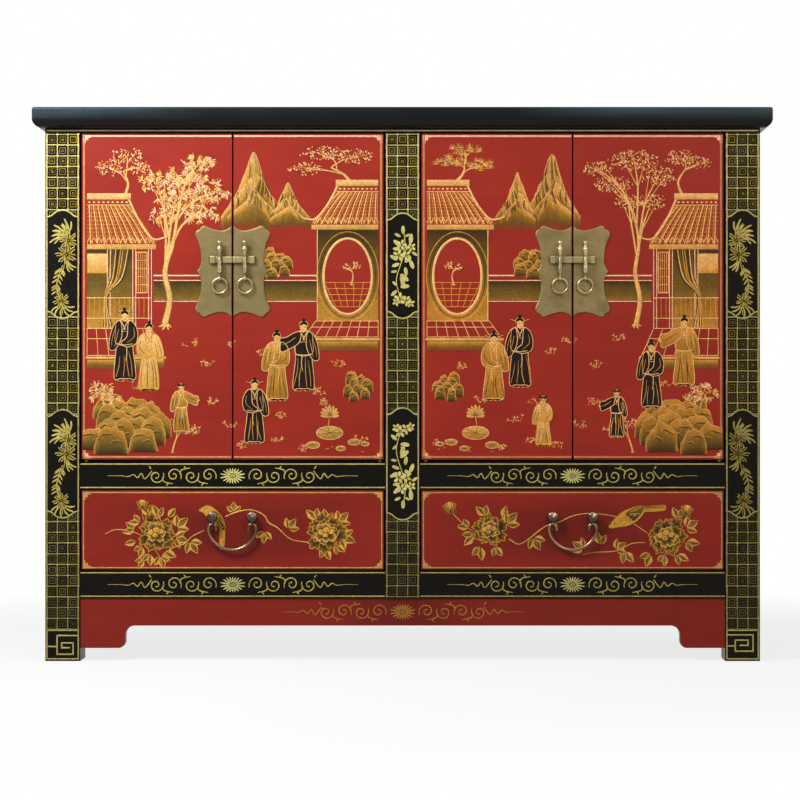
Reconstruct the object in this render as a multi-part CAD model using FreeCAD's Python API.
"""Lacquered sideboard with two pairs of pivot-hung doors over two drawers.

Frame: +Z up, the front faces -Y, +X to the viewer's right. The origin is on the
floor under the middle of the top board. All sizes are millimetres.
"""
import FreeCAD, Part
import math
import os

V = FreeCAD.Vector
X_AXIS, Y_AXIS, Z_AXIS = V(1, 0, 0), V(0, 1, 0), V(0, 0, 1)

# Overall size
TOP_WIDTH = 1200.0
TOP_DEPTH = 400.0
HEIGHT = 900.0
TOP_THICK = 33.0
TOP_LOWER_ROUND = 14.0
TOP_UPPER_ROUND = 4.0
SIDE_OVERHANG = 18.0
FRONT_OVERHANG = 22.0
BACK_OVERHANG = 4.0

# Frame members
POST = 57.0
RAIL_DEPTH = 40.0
STILE_DEPTH = 40.0
RAIL_SETBACK = 1.0
TOP_RAIL_HEIGHT = 6.5
MID_RAIL_TOP = 324.0
MID_RAIL_BOTTOM = 279.0
LOW_RAIL_TOP = 147.0
LOW_RAIL_BOTTOM = 102.0
TENON = 20.0
TENON_SHOULDER = 8.0
SIDE_TENON_INSETS = (6.0, 10.0)
EDGE_ROUND = 2.0

# Aprons under the lower rails, with a foot at each end
APRON_THICK = 18.0
APRON_SETBACK = 3.0
APRON_ARCH = 57.5
APRON_FOOT = 21.0
APRON_FOOT_WIDTH = 73.0
APRON_FOOT_ROUND = 11.0
APRON_ARCH_ROUND = 16.0
APRON_TENON = 10.0

# Panels and boards
SIDE_PANEL_THICK = 12.0
SIDE_PANEL_SETBACK = 4.0
BACK_PANEL_THICK = 8.0
BACK_PANEL_SETBACK = 10.0
BACK_RAIL_SETBACK = 2.0
BACK_RAIL_DEPTH = 36.0
TONGUE = 8.0
PARTITION_THICK = 18.0
FLOOR_THICK = 16.0
FLOOR_RISE = 8.0
SHELF_THICK = 18.0
SHELF_BOTTOM = 590.0
SHELF_FRONT = -100.0
DADO = 4.0

# Doors
FRONT_THICK = 20.0
FRONT_SETBACK = 1.0
DOOR_HINGE_GAP = 2.0
DOOR_MEETING_GAP = 2.5
DOOR_TOP_GAP = 1.5
DOOR_BOTTOM_GAP = 3.5
DOOR_EDGE_ROUND = 3.0
STOP_GAP = 0.5
STOP_HEIGHT = 24.0
STOP_DEPTH = 18.0
STOP_END_GAP = 30.0
PIVOT_INSET = 7.0
PIVOT_RADIUS = 4.0
PIVOT_CLEARANCE = 0.05
PIVOT_IN_DOOR = 25.0
PIVOT_BELOW_DOOR = 16.0
PIVOT_ABOVE_DOOR = 12.5
PIVOT_END_GAP = 0.5

# Lock plates, staples, bars and rings on the doors
PLATE_CENTRE = 634.5
PLATE_THICK = 1.5
PLATE_EDGE_GAP = 0.3
STAPLE_FROM_MEETING = 20.5
STAPLE_STANDOFF = 10.4
STAPLE_FOOT_RADIUS = 2.4
STAPLE_FEET = (636.0, 671.0)
CLENCH = (12.0, 1.5, 4.0)
BAR_CENTRE = 653.0
BAR_HEIGHT = 10.6
BAR_THICK = 6.0
BAR_LENGTH = 36.5
BAR_HEAD_LENGTH = 9.0
BAR_HEAD_EXTRA = 0.9
BAR_ROUND = 1.4
BAR_PLATE_GAP = 0.4
BAR_MEETING_GAP = 0.5
EYE_CENTRE = 622.5
EYE_STANDOFF = 6.0
EYE_WIDTH = 3.0
EYE_OUTER = 4.2
EYE_HOLE = 2.6
EYE_NECK = 1.8
RING_RADIUS = 12.0
RING_WIRE = 2.0

# Drawers
DRAWER_SIDE_GAP = 2.0
DRAWER_GAP = 1.5
DRAWER_SIDE_THICK = 12.0
DRAWER_SIDE_INSET = 2.0
DRAWER_SIDE_TOP = 262.0
DRAWER_BOTTOM_THICK = 6.0
DRAWER_BOTTOM_UP = 9.5
DRAWER_GROOVE = 6.0
RUNNER_TOP = 148.3
RUNNER_BOTTOM = 125.0
RUNNER_LEDGE = 18.0
RUNNER_GUIDE_TOP = 176.0
RUNNER_GUIDE_GAP = 2.5
RUNNER_PLAY = 0.5

# Bail handles on the drawers
BAIL_SPACING = 64.6
BAIL_PIVOT = 223.3
BAIL_STANDOFF = 9.0
BAIL_WIRE = 2.5
BAIL_HOOK = 6.2
BAIL_HOOK_END = 4.5
BAIL_DROP = 35.5
BAIL_SHOULDER = 31.0
BAIL_POST = 235.0
BAIL_EYE_WIDTH = 2.5
BAIL_EYE_OUTER = 4.7
BAIL_EYE_HOLE = 3.1
BAIL_SHANK = 2.5

# Levels and planes that follow from the sizes above
FRONT = -TOP_DEPTH / 2 + FRONT_OVERHANG
BACK = TOP_DEPTH / 2 - BACK_OVERHANG
HALF_BODY = TOP_WIDTH / 2 - SIDE_OVERHANG
POST_INNER = HALF_BODY - POST
HALF_STILE = POST / 2
POST_BACK = FRONT + POST
REAR_POST_FRONT = BACK - POST
TOP_UNDER = HEIGHT - TOP_THICK
FRAME_TOP = TOP_UNDER - TOP_RAIL_HEIGHT
RAIL_FACE = FRONT + RAIL_SETBACK
RAIL_BACK = RAIL_FACE + RAIL_DEPTH
STILE_BACK = FRONT + STILE_DEPTH
FACE = FRONT + FRONT_SETBACK
FACE_BACK = FACE + FRONT_THICK
PANEL_OUTER = HALF_BODY - SIDE_PANEL_SETBACK
PANEL_INNER = PANEL_OUTER - SIDE_PANEL_THICK
BACK_PANEL_REAR = BACK - BACK_PANEL_SETBACK
BACK_PANEL_FRONT = BACK_PANEL_REAR - BACK_PANEL_THICK
BACK_RAIL_REAR = BACK - BACK_RAIL_SETBACK
BACK_RAIL_FRONT = BACK_RAIL_REAR - BACK_RAIL_DEPTH
FLOOR_TOP = MID_RAIL_TOP + FLOOR_RISE
FLOOR_BOTTOM = FLOOR_TOP - FLOOR_THICK
HALF_PARTITION = PARTITION_THICK / 2
OPENING_MIDDLE = (POST_INNER + HALF_STILE) / 2
DOOR_WIDTH = (POST_INNER - HALF_STILE - 2 * DOOR_HINGE_GAP - DOOR_MEETING_GAP) / 2
DOOR_BOTTOM = MID_RAIL_TOP + DOOR_BOTTOM_GAP
DOOR_TOP = FRAME_TOP - DOOR_TOP_GAP
PIVOT_Y = FACE + PIVOT_INSET
PLATE_FACE = FACE - PLATE_THICK
STAPLE_Y = PLATE_FACE - STAPLE_STANDOFF - BAR_PLATE_GAP
EYE_Y = PLATE_FACE - EYE_STANDOFF
BAIL_Y = FACE - BAIL_STANDOFF

# Each door: name, side of the cabinet (-1 left), and the side its pivot is on
DOORS = (
    ("left_outer", -1, -1),
    ("left_inner", -1, 1),
    ("right_inner", 1, -1),
    ("right_outer", 1, 1),
)
SIDES = (("left", -1), ("right", 1))

# Turned outline of a staple's post: radius and height, from its lower end up
STAPLE_OUTLINE = (
    (2.7, 631.0), (4.3, 637.0), (4.0, 641.0), (3.1, 652.0), (2.9, 664.0), (4.2, 671.0),
    (2.4, 675.0), (3.0, 677.0), (4.4, 680.5), (2.8, 683.4),
)
STAPLE_ENDS = (629.5, 684.0)

# Outline of a handle's stud: radius, and distance out from the drawer's face
STUD_OUTLINE = ((7.0, 0.0), (6.6, 1.6), (3.6, 3.0), (3.6, 5.0), (7.8, 8.4), (8.9, 12.4), (6.9, 16.8))
STUD_REACH = 18.8

# Upper half of a lock plate's outer edge from the meeting line to its middle:
# each arc is (point it passes, point it ends at), as distance out and height above the centre
PLATE_START = (0.0, 74.0)
PLATE_EDGE = (
    ((9.0, 68.6), (20.5, 66.4)),
    ((33.0, 69.2), (44.0, 73.6)),
    ((50.0, 73.2), (53.0, 68.6)),
    ((58.6, 65.8), (60.6, 58.0)),
    ((53.6, 40.0), (51.4, 22.0)),
    ((53.2, 8.0), (58.6, 0.0)),
)


def box(x0, x1, y0, y1, z0, z1):
    """A block between two corners, whichever way round its limits are given."""
    low = V(min(x0, x1), min(y0, y1), min(z0, z1))
    return Part.makeBox(abs(x1 - x0), abs(y1 - y0), abs(z1 - z0), low)


def rod(radius, start, end):
    """A round bar between two points."""
    way = end - start
    return Part.makeCylinder(radius, way.Length, start, way)


def joined(first, *others):
    """One solid from pieces that touch or overlap."""
    return first.fuse(list(others)).removeSplitter()


def without(shape, *cutters):
    """The shape less every cutter."""
    return shape.cut(list(cutters))


def edges_along(shape, axis, test):
    """The straight edges along an axis whose middle passes the test."""
    found = []
    for edge in shape.Edges:
        way = edge.Vertexes[-1].Point - edge.Vertexes[0].Point
        if way.Length > 0 and way.cross(axis).Length < 1e-6 and test(edge.CenterOfMass):
            found.append(edge)
    return found


def end_pieces(x0, x1, y0, y1, z0, z1, length):
    """Tenons for both ends of a member along X: blocks set in from its faces by the shoulders."""
    ys, zs = (y0 + TENON_SHOULDER, y1 - TENON_SHOULDER), (z0 + TENON_SHOULDER, z1 - TENON_SHOULDER)
    return box(x0 - length, x0, *ys, *zs), box(x1, x1 + length, *ys, *zs)


def rail_tenons(side, bottom, top):
    """Tenons of the front rail on one side, at the given height."""
    x0, x1 = sorted((side * POST_INNER, side * HALF_STILE))
    return end_pieces(x0, x1, RAIL_FACE, RAIL_BACK, bottom, top, TENON)


def back_rail_tenons():
    """Tenons of the rail across the back."""
    return end_pieces(-POST_INNER, POST_INNER, BACK_RAIL_FRONT, BACK_RAIL_REAR,
                      LOW_RAIL_BOTTOM, LOW_RAIL_TOP, TENON)


def side_rail_box(side):
    """Outer and inner face of a side rail, as X values."""
    outer = side * (HALF_BODY - RAIL_SETBACK)
    return outer, outer - side * RAIL_DEPTH


def side_rail_tenons(side):
    """Tenons of a lower side rail, which run front to back."""
    outer, inner = side_rail_box(side)
    xs = outer - side * SIDE_TENON_INSETS[0], inner + side * SIDE_TENON_INSETS[1]
    zs = LOW_RAIL_BOTTOM + TENON_SHOULDER, LOW_RAIL_TOP - TENON_SHOULDER
    return (box(*xs, POST_BACK - TENON, POST_BACK, *zs),
            box(*xs, REAR_POST_FRONT, REAR_POST_FRONT + TENON, *zs))


def apron_tenons():
    """Stub tenons that let the front apron into the posts."""
    y0 = FRONT + APRON_SETBACK
    zs = APRON_FOOT + TENON_SHOULDER, LOW_RAIL_BOTTOM - TENON_SHOULDER
    ys = y0 + APRON_THICK / 4, y0 + 3 * APRON_THICK / 4
    return (box(-POST_INNER - APRON_TENON, -POST_INNER, *ys, *zs),
            box(POST_INNER, POST_INNER + APRON_TENON, *ys, *zs))


def side_panel_board(side):
    """A side panel with its tongues, before the shelf's dado."""
    return box(side * PANEL_OUTER, side * PANEL_INNER, POST_BACK - TONGUE, REAR_POST_FRONT + TONGUE,
               LOW_RAIL_TOP - TONGUE, FRAME_TOP)


def back_panel_board():
    """The back panel with its tongues."""
    return box(-POST_INNER - TONGUE, POST_INNER + TONGUE, BACK_PANEL_FRONT, BACK_PANEL_REAR,
               LOW_RAIL_TOP - TONGUE, FRAME_TOP)


def pivot_x(side, hinge):
    """Where a door's pivot stands, for its cabinet side and hinge side."""
    edge = POST_INNER if hinge == side else HALF_STILE
    inward = -side if hinge == side else side
    return side * edge + inward * (DOOR_HINGE_GAP + PIVOT_INSET)


def pivot_hole(x, z0, z1):
    """The running hole for a door's pivot pin."""
    return rod(PIVOT_RADIUS + PIVOT_CLEARANCE, V(x, PIVOT_Y, z0), V(x, PIVOT_Y, z1))


def stop_ends(side):
    """Ends of a door stop, kept clear of the corners that swing back beside the pivots."""
    return side * (HALF_STILE + STOP_END_GAP), side * (POST_INNER - STOP_END_GAP)


def pivot_ends():
    """Lowest and highest point of a door's pins."""
    return DOOR_BOTTOM - PIVOT_BELOW_DOOR, DOOR_TOP + PIVOT_ABOVE_DOOR


def top_board():
    """The top: rounded under on the front and ends, with sockets for the upper pivot pins."""
    half_w, half_d = TOP_WIDTH / 2, TOP_DEPTH / 2
    board = box(-half_w, half_w, -half_d, half_d, TOP_UNDER, HEIGHT)

    def moulded(level):
        def test(point):
            outside = point.y < -half_d + 1 or abs(point.x) > half_w - 1
            return outside and abs(point.z - level) < 1
        return edges_along(board, X_AXIS, test) + edges_along(board, Y_AXIS, test)

    under, over = moulded(TOP_UNDER), moulded(HEIGHT)
    board = board.makeFillet(TOP_LOWER_ROUND, under).makeFillet(TOP_UPPER_ROUND, over)
    top_end = pivot_ends()[1] + PIVOT_END_GAP
    holes = [pivot_hole(pivot_x(side, hinge), TOP_UNDER - 1, top_end) for _, side, hinge in DOORS]
    return without(board, *holes)


def top_rail_front():
    """Thin rail over the doors, with a stop strip hanging behind each pair."""
    lip = box(-HALF_BODY, HALF_BODY, FRONT, POST_BACK, FRAME_TOP, TOP_UNDER)
    stop_y = FACE_BACK + STOP_GAP
    stops = [box(*stop_ends(side), stop_y, stop_y + STOP_DEPTH, FRAME_TOP - STOP_HEIGHT, FRAME_TOP)
             for _, side in SIDES]
    holes = [pivot_hole(pivot_x(side, hinge), FRAME_TOP - 1, TOP_UNDER + 1) for _, side, hinge in DOORS]
    return without(joined(lip, *stops), *holes)


def top_rail_back():
    """Rail over the back posts."""
    return box(-HALF_BODY, HALF_BODY, REAR_POST_FRONT, BACK, FRAME_TOP, TOP_UNDER)


def top_rail_side(side):
    """Rail over a side panel, between the front and back rails."""
    return box(side * HALF_BODY, side * (HALF_BODY - POST), POST_BACK, REAR_POST_FRONT,
               FRAME_TOP, TOP_UNDER)


def post(side, front):
    """A corner post from the floor to the top rails, with its mortises and grooves."""
    ys = (FRONT, POST_BACK) if front else (REAR_POST_FRONT, BACK)
    outer_y = FRONT if front else BACK
    leg = box(side * HALF_BODY, side * POST_INNER, *ys, 0, FRAME_TOP)
    outside = edges_along(leg, Z_AXIS, lambda p: abs(p.y - outer_y) < 1)
    leg = leg.makeFillet(EDGE_ROUND, outside)
    cutters = [side_panel_board(side), *side_rail_tenons(side)]
    if front:
        cutters += rail_tenons(side, MID_RAIL_BOTTOM, MID_RAIL_TOP)
        cutters += rail_tenons(side, LOW_RAIL_BOTTOM, LOW_RAIL_TOP)
        cutters += apron_tenons()
    else:
        cutters += [back_panel_board(), *back_rail_tenons()]
    return without(leg, *cutters)


def centre_stile():
    """Upright between the two pairs of doors, mortised for the rails on both sides."""
    stile = box(-HALF_STILE, HALF_STILE, FRONT, STILE_BACK, LOW_RAIL_BOTTOM, FRAME_TOP)
    front_edges = edges_along(stile, Z_AXIS, lambda p: abs(p.y - FRONT) < 1)
    stile = stile.makeFillet(EDGE_ROUND, front_edges)
    cutters = []
    for _, side in SIDES:
        cutters += rail_tenons(side, MID_RAIL_BOTTOM, MID_RAIL_TOP)
        cutters += rail_tenons(side, LOW_RAIL_BOTTOM, LOW_RAIL_TOP)
    return without(stile, *cutters)


def front_rail(side, bottom, top):
    """A rail between post and stile, with a tenon at each end."""
    body = box(side * POST_INNER, side * HALF_STILE, RAIL_FACE, RAIL_BACK, bottom, top)
    return joined(body, *rail_tenons(side, bottom, top))


def mid_rail(side):
    """The rail under a pair of doors, bored for their lower pivot pins."""
    low_end = pivot_ends()[0] - PIVOT_END_GAP
    holes = [pivot_hole(pivot_x(side, hinge), low_end, MID_RAIL_TOP + 1) for hinge in (-1, 1)]
    return without(front_rail(side, MID_RAIL_BOTTOM, MID_RAIL_TOP), *holes)


def apron_outline(length):
    """Half-width outline of an apron as points and arcs, symmetric about its middle."""
    half, foot = length / 2, length / 2 - APRON_FOOT_WIDTH
    turn = 1 - 0.5 ** 0.5
    r, big = APRON_FOOT_ROUND, APRON_ARCH_ROUND
    top, low, arch = LOW_RAIL_BOTTOM, APRON_FOOT, APRON_ARCH

    def edges(s):
        def at(x, z):
            return V(s * x, 0, z)
        return [
            Part.LineSegment(at(half, top), at(half, low)).toShape(),
            Part.LineSegment(at(half, low), at(foot + r, low)).toShape(),
            Part.Arc(at(foot + r, low), at(foot + r * turn, low + r * turn), at(foot, low + r)).toShape(),
            Part.LineSegment(at(foot, low + r), at(foot, arch - big)).toShape(),
            Part.Arc(at(foot, arch - big), at(foot - big * turn, arch - big * turn),
                     at(foot - big, arch)).toShape(),
        ]

    across = [Part.LineSegment(V(foot - big, 0, arch), V(big - foot, 0, arch)).toShape(),
              Part.LineSegment(V(half, 0, top), V(-half, 0, top)).toShape()]
    return Part.Wire(Part.__sortEdges__(edges(1) + edges(-1) + across))


def apron_front():
    """Apron across the front, let into both posts."""
    board = Part.Face(apron_outline(2 * POST_INNER)).extrude(V(0, APRON_THICK, 0))
    board.translate(V(0, FRONT + APRON_SETBACK, 0))
    return joined(board, *apron_tenons())


def apron_side(side):
    """Apron under a side rail."""
    span = REAR_POST_FRONT - POST_BACK
    board = Part.Face(apron_outline(span)).extrude(V(0, APRON_THICK, 0))
    board.rotate(V(0, 0, 0), Z_AXIS, 90 * side)
    board.translate(V(side * (HALF_BODY - APRON_SETBACK), (REAR_POST_FRONT + POST_BACK) / 2, 0))
    return board


def low_rail_side(side):
    """Lower side rail, tenoned into both posts and grooved for the side panel."""
    outer, inner = side_rail_box(side)
    body = box(outer, inner, POST_BACK, REAR_POST_FRONT, LOW_RAIL_BOTTOM, LOW_RAIL_TOP)
    return without(joined(body, *side_rail_tenons(side)), side_panel_board(side))


def low_rail_back():
    """Lower back rail, grooved for the back panel."""
    body = box(-POST_INNER, POST_INNER, BACK_RAIL_FRONT, BACK_RAIL_REAR, LOW_RAIL_BOTTOM, LOW_RAIL_TOP)
    return without(joined(body, *back_rail_tenons()), back_panel_board())


def shelf(side):
    """A cupboard's shelf, housed in the side panel and the partition and cut round the back post."""
    board = box(side * (PANEL_INNER + DADO), side * (HALF_PARTITION - DADO), SHELF_FRONT,
                BACK_PANEL_FRONT, SHELF_BOTTOM, SHELF_BOTTOM + SHELF_THICK)
    corner = box(side * POST_INNER, side * HALF_BODY, REAR_POST_FRONT, BACK, SHELF_BOTTOM - 1,
                 SHELF_BOTTOM + SHELF_THICK + 1)
    return without(board, corner)


def side_panel(side):
    """A side panel, housed for the shelf."""
    return without(side_panel_board(side), shelf(side))


def centre_partition():
    """Board behind the centre stile that parts the cupboards and the drawers."""
    board = box(-HALF_PARTITION, HALF_PARTITION, STILE_BACK, BACK_PANEL_FRONT, RUNNER_BOTTOM, FRAME_TOP)
    rail_notch = box(-HALF_PARTITION, HALF_PARTITION, BACK_RAIL_FRONT, BACK_PANEL_FRONT,
                     RUNNER_BOTTOM, LOW_RAIL_TOP)
    return without(board, rail_notch, *[shelf(side) for _, side in SIDES])


def cupboard_floor(side):
    """Floor of a cupboard; its raised front edge lies over the rail and stops the doors."""
    board = box(side * PANEL_INNER, side * HALF_PARTITION, RAIL_BACK, BACK_PANEL_FRONT,
                FLOOR_BOTTOM, FLOOR_TOP)
    lip = box(*stop_ends(side), FACE_BACK + STOP_GAP, RAIL_BACK, MID_RAIL_TOP, FLOOR_TOP)
    corners = [box(side * POST_INNER, side * HALF_BODY, *ys, FLOOR_BOTTOM - 1, FLOOR_TOP + 1)
               for ys in ((FRONT, POST_BACK), (REAR_POST_FRONT, BACK))]
    stile_corner = box(0, side * HALF_STILE, FRONT, STILE_BACK, FLOOR_BOTTOM - 1, FLOOR_TOP + 1)
    return without(joined(board, lip), *corners, stile_corner)


def drawer_edges(side):
    """Outer and inner X of a drawer's front."""
    return side * (POST_INNER - DRAWER_SIDE_GAP), side * (HALF_STILE + DRAWER_SIDE_GAP)


def drawer_runner(side, outer):
    """An L-shaped runner: a ledge under the drawer's side and a guide beside it."""
    front_outer, front_inner = drawer_edges(side)
    if outer:
        wall, ledge_wall = side * PANEL_INNER, side_rail_box(side)[1]
        reach = front_outer - side * RUNNER_LEDGE
        guide = front_outer - side * DRAWER_SIDE_INSET + side * RUNNER_GUIDE_GAP
        ys = POST_BACK, REAR_POST_FRONT
    else:
        wall, reach = side * HALF_PARTITION, front_inner + side * RUNNER_LEDGE
        ledge_wall = wall
        guide = front_inner + side * DRAWER_SIDE_INSET - side * RUNNER_GUIDE_GAP
        ys = RAIL_BACK, BACK_RAIL_FRONT
    return joined(box(ledge_wall, reach, *ys, RUNNER_BOTTOM, RUNNER_TOP),
                  box(wall, guide, *ys, LOW_RAIL_TOP, RUNNER_GUIDE_TOP))


def drawer_levels():
    """Lower and upper edge of a drawer's front."""
    return LOW_RAIL_TOP + DRAWER_GAP, MID_RAIL_BOTTOM - DRAWER_GAP


def drawer_bottom(side):
    """The drawer's bottom board, let into grooves in the front and sides."""
    outer, inner = drawer_edges(side)
    inset = DRAWER_SIDE_INSET + DRAWER_SIDE_THICK - DRAWER_GROOVE
    low = RUNNER_TOP + RUNNER_PLAY + DRAWER_BOTTOM_UP
    return box(outer - side * inset, inner + side * inset, FACE_BACK - DRAWER_GROOVE,
               BACK_PANEL_FRONT - STOP_GAP, low, low + DRAWER_BOTTOM_THICK)


def drawer_front(side):
    """The drawer's front, grooved for the bottom and bored for the handle."""
    low, high = drawer_levels()
    outer, inner = drawer_edges(side)
    front = box(outer, inner, FACE, FACE_BACK, low, high)
    rim = [edge for edge in front.Edges if abs(edge.CenterOfMass.y - FACE) < 1e-6]
    front = front.makeFillet(EDGE_ROUND, rim)
    holes = [rod(BAIL_SHANK, V(x, FACE - 1, BAIL_POST), V(x, FACE_BACK + 1, BAIL_POST))
             for x in bail_posts_at(side)]
    return without(front, drawer_bottom(side), *holes)


def drawer_side(side, outer):
    """A drawer side, grooved for the bottom. It reaches the back panel, which stops the drawer."""
    front_outer, front_inner = drawer_edges(side)
    edge = front_outer - side * DRAWER_SIDE_INSET if outer else front_inner + side * DRAWER_SIDE_INSET
    inward = -side if outer else side
    board = box(edge, edge + inward * DRAWER_SIDE_THICK, FACE_BACK, BACK_PANEL_FRONT - STOP_GAP,
                RUNNER_TOP + RUNNER_PLAY, DRAWER_SIDE_TOP)
    return without(board, drawer_bottom(side))


def drawer_back(side):
    """The drawer's back, standing on the bottom between the sides."""
    outer, inner = drawer_edges(side)
    inset = DRAWER_SIDE_INSET + DRAWER_SIDE_THICK
    rear = BACK_PANEL_FRONT - STOP_GAP
    low = drawer_bottom(side).BoundBox.ZMax
    return box(outer - side * inset, inner + side * inset, rear - DRAWER_SIDE_THICK, rear,
               low, DRAWER_SIDE_TOP)


def bail_posts_at(side):
    """X of a handle's two studs."""
    return [side * OPENING_MIDDLE + way * BAIL_SPACING / 2 for way in (-1, 1)]


def turned(outline, start, end, axis_point, axis, radial):
    """A solid of revolution: a smooth outline of (radius, height) that meets its axis at both ends."""
    def at(r, h):
        return axis_point + radial * r + axis * h
    curve = Part.BSplineCurve()
    curve.interpolate([at(r, h) for r, h in outline])
    first, last = outline[0], outline[-1]
    edges = [
        curve.toShape(),
        Part.LineSegment(at(*last), at(0, end)).toShape(),
        Part.LineSegment(at(0, end), at(0, start)).toShape(),
        Part.LineSegment(at(0, start), at(*first)).toShape(),
    ]
    return Part.Face(Part.Wire(edges)).revolve(axis_point, axis, 360)


def eye(x, y, z, width, outer, hole, neck_top, neck):
    """A lug with a cross hole along X, and a neck that carries it from above."""
    lug = rod(outer, V(x - width / 2, y, z), V(x + width / 2, y, z))
    stem = box(x - width / 2, x + width / 2, y - neck, y + neck, z, neck_top)
    bore = rod(hole, V(x - width, y, z), V(x + width, y, z))
    return without(joined(lug, stem), bore)


def clenched_shank(x, z, radius, outer_y):
    """A shank through a front, with its end bent flat against the back."""
    tab = box(x - CLENCH[0] / 2, x + CLENCH[0] / 2, FACE_BACK, FACE_BACK + CLENCH[1],
              z - CLENCH[2] / 2, z + CLENCH[2] / 2)
    return joined(rod(radius, V(x, outer_y, z), V(x, FACE_BACK + CLENCH[1], z)), tab)


def bail_stud(x):
    """A round-headed stud with an eye under its head, clenched behind the drawer front."""
    head = turned(STUD_OUTLINE, 0, STUD_REACH, V(x, FACE, BAIL_POST), V(0, -1, 0), Z_AXIS)
    lug = eye(x, BAIL_Y, BAIL_PIVOT, BAIL_EYE_WIDTH, BAIL_EYE_OUTER, BAIL_EYE_HOLE,
              BAIL_POST - BAIL_EYE_HOLE, BAIL_EYE_HOLE)
    shank = clenched_shank(x, BAIL_POST, BAIL_SHANK, FACE - BAIL_SHANK)
    return joined(head, lug, shank)


def bail(side):
    """The drawer's handle: a wire bowed in three arcs, with its ends hooked through the studs' eyes."""
    middle, level = side * OPENING_MIDDLE, BAIL_PIVOT - BAIL_HOOK
    hook = BAIL_SPACING / 2
    reach = hook + BAIL_HOOK
    inset = reach - BAIL_SHOULDER
    belly = (inset ** 2 + BAIL_DROP ** 2 - BAIL_SHOULDER ** 2) / (2 * (BAIL_DROP - BAIL_SHOULDER))
    turn = math.asin((belly - BAIL_DROP) / (belly - BAIL_SHOULDER))

    def at(x, z):
        return V(middle + x, BAIL_Y, level + z)

    def shoulder(s, angle):
        return at(s * (inset + BAIL_SHOULDER * math.cos(angle)), -BAIL_SHOULDER * math.sin(angle))

    def end(s):
        near = s * (hook - BAIL_HOOK)
        return (Part.LineSegment(at(near, -BAIL_HOOK_END), at(near, 0)).toShape(),
                Part.Arc(at(near, 0), at(s * hook, BAIL_HOOK), at(s * reach, 0)).toShape(),
                Part.Arc(at(s * reach, 0), shoulder(s, turn / 2), shoulder(s, turn)).toShape())

    bow = Part.Arc(shoulder(-1, turn), at(0, -BAIL_DROP), shoulder(1, turn)).toShape()
    path = Part.Wire(Part.__sortEdges__([*end(-1), bow, *end(1)]))
    start = at(BAIL_HOOK - hook, -BAIL_HOOK_END)
    section = Part.Wire(Part.makeCircle(BAIL_WIRE, start, Z_AXIS))
    return path.makePipeShell([section], True, True)


def door_edges(side, hinge):
    """Pivot edge and meeting edge of a door, as X values."""
    inward = -hinge
    pivot_edge = pivot_x(side, hinge) - inward * PIVOT_INSET
    return pivot_edge, pivot_edge + inward * DOOR_WIDTH


def staple_x(side, hinge):
    """X of a door's staple, measured from the meeting line of its pair."""
    return side * OPENING_MIDDLE + hinge * STAPLE_FROM_MEETING


def staple_holes(side, hinge):
    """Holes for a staple's two feet."""
    x = staple_x(side, hinge)
    return [rod(STAPLE_FOOT_RADIUS, V(x, PLATE_FACE - 1, z), V(x, FACE_BACK + 1, z)) for z in STAPLE_FEET]


def door_pins(side, hinge):
    """Upper and lower pivot pins, let into the door."""
    x = pivot_x(side, hinge)
    low, high = pivot_ends()
    return (rod(PIVOT_RADIUS, V(x, PIVOT_Y, low), V(x, PIVOT_Y, DOOR_BOTTOM + PIVOT_IN_DOOR)),
            rod(PIVOT_RADIUS, V(x, PIVOT_Y, DOOR_TOP - PIVOT_IN_DOOR), V(x, PIVOT_Y, high)))


def door_panel(side, hinge):
    """A flush door, rounded down both front edges so that it clears the frame as it turns."""
    board = box(*door_edges(side, hinge), FACE, FACE_BACK, DOOR_BOTTOM, DOOR_TOP)
    meeting = door_edges(side, hinge)[1]
    hinge_edge = edges_along(board, Z_AXIS, lambda p: p.y < FACE + 1 and abs(p.x - meeting) > 1)
    board = board.makeFillet(DOOR_EDGE_ROUND, hinge_edge)
    ends = edges_along(board, X_AXIS, lambda p: p.y < FACE + 1)
    board = board.makeFillet(EDGE_ROUND, ends)
    return without(board, *door_pins(side, hinge), *staple_holes(side, hinge))


def lock_plate(side, hinge):
    """One half of a scalloped lock plate, cut along the doors' meeting line."""
    seam = door_edges(side, hinge)[1] + hinge * PLATE_EDGE_GAP

    def at(point, up):
        out = abs(seam - side * OPENING_MIDDLE)
        x = side * OPENING_MIDDLE + hinge * max(point[0], out)
        return V(x, PLATE_FACE, PLATE_CENTRE + up * point[1])

    edges = []
    for up in (1, -1):
        start = PLATE_START
        for through, end in PLATE_EDGE:
            edges.append(Part.Arc(at(start, up), at(through, up), at(end, up)).toShape())
            start = end
    edges.append(Part.LineSegment(at(PLATE_START, 1), at(PLATE_START, -1)).toShape())
    outline = Part.Wire(Part.__sortEdges__(edges))
    plate = Part.Face(outline).extrude(V(0, PLATE_THICK, 0))
    return without(plate, *staple_holes(side, hinge))


def staple(side, hinge):
    """Turned post standing off the plate on two clenched feet, with an eye for the ring below."""
    x = staple_x(side, hinge)
    column = turned(STAPLE_OUTLINE, *STAPLE_ENDS, V(x, STAPLE_Y, 0), Z_AXIS, X_AXIS)
    feet = [clenched_shank(x, z, STAPLE_FOOT_RADIUS, STAPLE_Y) for z in STAPLE_FEET]
    lug = eye(x, EYE_Y, EYE_CENTRE, EYE_WIDTH, EYE_OUTER, EYE_HOLE, STAPLE_FEET[0], EYE_NECK)
    return joined(column, *feet, lug)


def ring(side, hinge):
    """Ring pull hanging in the staple's eye."""
    return Part.makeTorus(RING_RADIUS, RING_WIRE,
                          V(staple_x(side, hinge), EYE_Y, EYE_CENTRE - RING_RADIUS), Y_AXIS)


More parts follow.
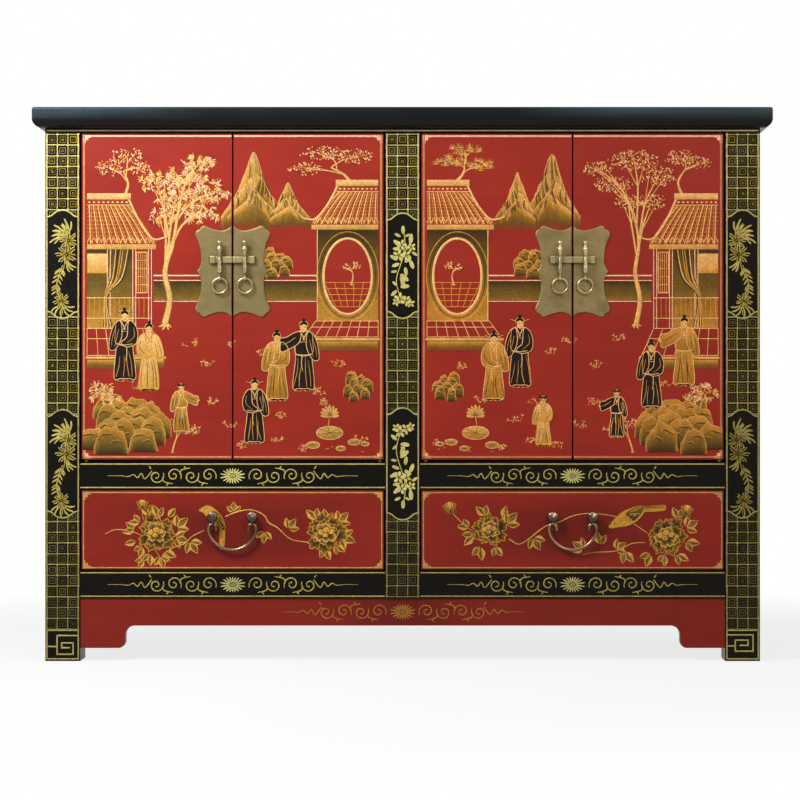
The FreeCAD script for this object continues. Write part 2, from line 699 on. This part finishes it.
def lock_bar(side, hinge):
    """Half of a lock bar, rounded in front, lying between staple and plate, with a head outside."""
    start = side * OPENING_MIDDLE + hinge * BAR_MEETING_GAP
    end = side * OPENING_MIDDLE + hinge * BAR_LENGTH
    neck = end - hinge * BAR_HEAD_LENGTH
    y1 = PLATE_FACE - BAR_PLATE_GAP
    y0 = y1 - BAR_THICK
    half = BAR_HEIGHT / 2
    body = box(start, neck, y0, y1, BAR_CENTRE - half, BAR_CENTRE + half)
    body = body.makeFillet(BAR_ROUND, edges_along(body, X_AXIS, lambda p: p.y < y0 + 1))
    front = y0 - BAR_HEAD_EXTRA
    head = box(neck, end, front, y1, BAR_CENTRE - half - BAR_HEAD_EXTRA, BAR_CENTRE + half + BAR_HEAD_EXTRA)
    rim = [edge for edge in head.Edges if abs(edge.CenterOfMass.y - front) < 1e-6]
    return joined(body, head.makeFillet(BAR_ROUND, rim))


def carcass_parts():
    """The fixed frame, panels and boards."""
    parts = {
        "top_board": [top_board()],
        "top_rail_front": [top_rail_front()],
        "top_rail_back": [top_rail_back()],
        "top_rails_side": [top_rail_side(side) for _, side in SIDES],
        "centre_stile": [centre_stile()],
        "apron_front": [apron_front()],
        "aprons_side": [apron_side(side) for _, side in SIDES],
        "low_rails_side": [low_rail_side(side) for _, side in SIDES],
        "low_rail_back": [low_rail_back()],
        "back_panel": [back_panel_board()],
        "centre_partition": [centre_partition()],
        "cupboard_floors": [cupboard_floor(side) for _, side in SIDES],
        "shelves": [shelf(side) for _, side in SIDES],
        "drawer_runners": [drawer_runner(side, outer) for _, side in SIDES for outer in (True, False)],
    }
    for name, side in SIDES:
        parts["post_front_" + name] = [post(side, True)]
        parts["post_back_" + name] = [post(side, False)]
        parts["mid_rail_" + name] = [mid_rail(side)]
        parts["low_rail_" + name] = [front_rail(side, LOW_RAIL_BOTTOM, LOW_RAIL_TOP)]
        parts["side_panel_" + name] = [side_panel(side)]
    return parts


def drawer_parts():
    """Both drawers and their handles."""
    parts = {}
    for name, side in SIDES:
        parts["drawer_front_" + name] = [drawer_front(side)]
        parts["drawer_sides_" + name] = [drawer_side(side, outer) for outer in (True, False)]
        parts["drawer_back_" + name] = [drawer_back(side)]
        parts["drawer_bottom_" + name] = [drawer_bottom(side)]
        parts["bail_studs_" + name] = [bail_stud(x) for x in bail_posts_at(side)]
        parts["bail_" + name] = [bail(side)]
    return parts


def door_parts():
    """All four doors, with their pivots and lock fittings."""
    parts = {}
    for name, side, hinge in DOORS:
        parts["door_" + name] = [door_panel(side, hinge)]
        parts["pivot_pins_" + name] = list(door_pins(side, hinge))
        parts["lock_plate_" + name] = [lock_plate(side, hinge)]
        parts["lock_staple_" + name] = [staple(side, hinge)]
        parts["lock_bar_" + name] = [lock_bar(side, hinge)]
        parts["ring_pull_" + name] = [ring(side, hinge)]
    return parts


def main():
    """Builds every part and writes one STEP file for each."""
    os.makedirs("parts", exist_ok=True)
    for name, solids in {**carcass_parts(), **drawer_parts(), **door_parts()}.items():
        shape = solids[0] if len(solids) == 1 else Part.makeCompound(solids)
        shape.exportStep("parts/" + name + ".step")
        print(name, len(shape.Solids), shape.isValid(), round(shape.Volume / 1000, 2), "cm3")


main()
